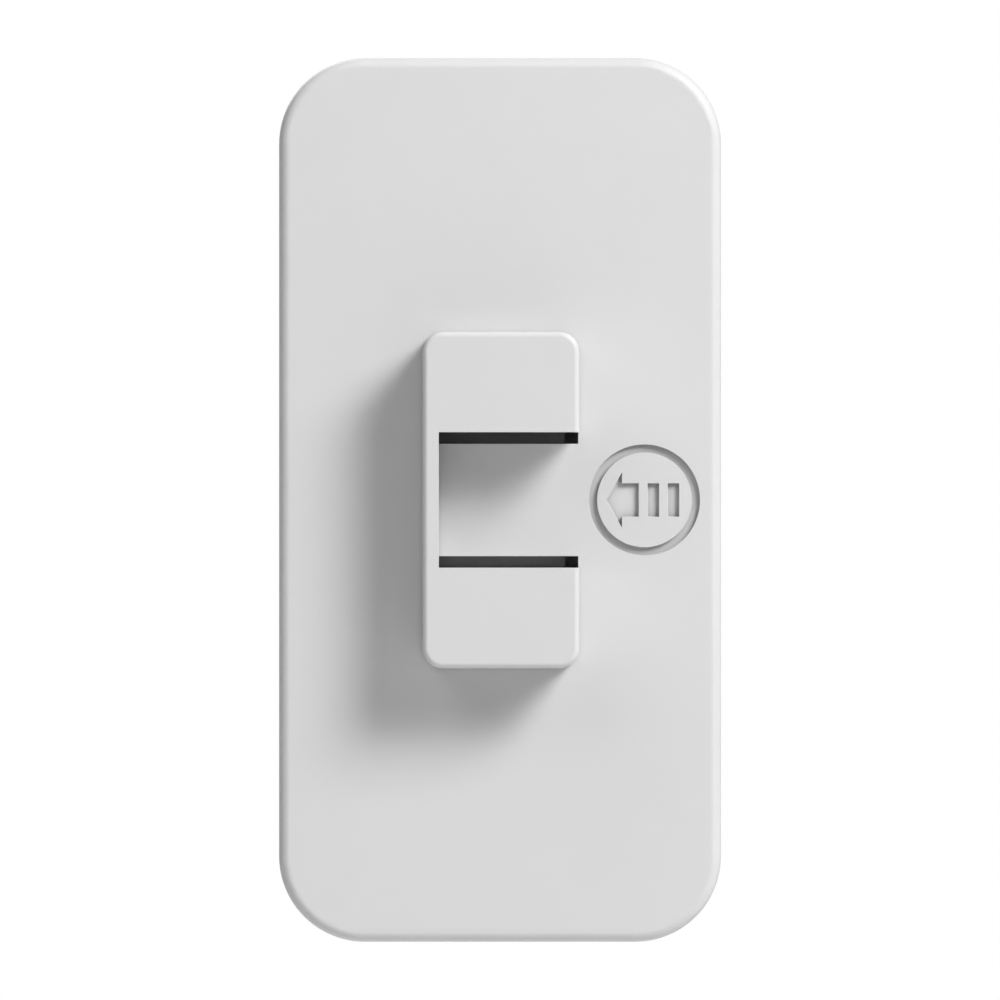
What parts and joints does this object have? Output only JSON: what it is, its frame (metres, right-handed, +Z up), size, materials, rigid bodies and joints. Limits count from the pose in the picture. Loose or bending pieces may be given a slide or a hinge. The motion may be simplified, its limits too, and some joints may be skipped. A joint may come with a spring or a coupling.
{
  "type": "slide dimmer switch",
  "caption": "Wall dimmer switch: a rounded screwless plate with a C-shaped knob that slides sideways, and a strap, circuit and housing behind it.",
  "frame": {"origin": "on the wall's surface, at the centre of the face plate", "axes": "+Z up the plate's long side, +X to the right as seen from the room, +Y into the wall"},
  "size_m": [0.0572, 0.0475, 0.1142],
  "materials": {
    "wall_plastic": "fine satin, light grey, moulded",
    "frame_plastic": "satin",
    "black_plastic": "fine spark texture",
    "nylon": "satin, dark grey",
    "aluminium": "stamped, brushed",
    "zinc_steel": "zinc plated",
    "brass": "stamped, slightly dull",
    "green_steel": "green dyed zinc",
    "epoxy_board": "solder resist over glass weave",
    "phenolic": "carbon film on phenolic paper",
    "ferrite": "sintered",
    "copper": "enamelled wire",
    "film_yellow": "moulded epoxy",
    "resistor_blue": "lacquered",
    "diac_blue": "tinted glass",
    "silicone": "grey filled silicone"
  },
  "bodies": {
    "base": {"back_housing": "black_plastic", "box_screw_bottom": "zinc_steel", "box_screw_top": "zinc_steel", "choke_core": "ferrite", "choke_winding": "copper", "circuit_board": "epoxy_board", "contact_rail": "brass", "diac": "diac_blue", "face_plate": "wall_plastic", "film_capacitor": "film_yellow", "frame_screw_bottom": "zinc_steel", "frame_screw_top": "zinc_steel", "ground_screw": "green_steel", "guide_screw_left": "zinc_steel", "guide_screw_right": "zinc_steel", "housing_screw_1": "zinc_steel", "housing_screw_2": "zinc_steel", "housing_screw_3": "zinc_steel", "housing_screw_4": "zinc_steel", "mounting_frame": "frame_plastic", "mounting_strap": "aluminium", "resistive_track": "phenolic", "slide_guide": "nylon", "slide_pot_case": "zinc_steel", "snubber_resistor": "resistor_blue", "terminal_plate_line": "brass", "terminal_plate_load": "brass", "terminal_plate_traveller": "brass", "terminal_screw_line": "brass", "terminal_screw_load": "brass", "terminal_screw_traveller": "brass", "timing_capacitor": "resistor_blue", "timing_resistor": "resistor_blue", "triac": "black_plastic", "triac_insulator": "silicone", "triac_screw": "zinc_steel", "trim_pot_body": "film_yellow"},
    "slider": {"slider_knob": "wall_plastic", "slide_carriage": "nylon", "wiper_lever": "black_plastic", "wiper_contact": "brass"},
    "trim_rotor": {"trim_dial": "wall_plastic"}
  },
  "joints": [
    {"name": "slider_travel", "type": "slide", "parent": "base", "child": "slider", "axis": [1, 0, 0], "range_m": [0, 0.0175]},
    {"name": "trim_turn", "type": "hinge", "parent": "base", "child": "trim_rotor", "pos_m": [0.0125, 0, -0.019], "axis": [0, 1, 0], "range_deg": [-135, 135]}
  ]
}
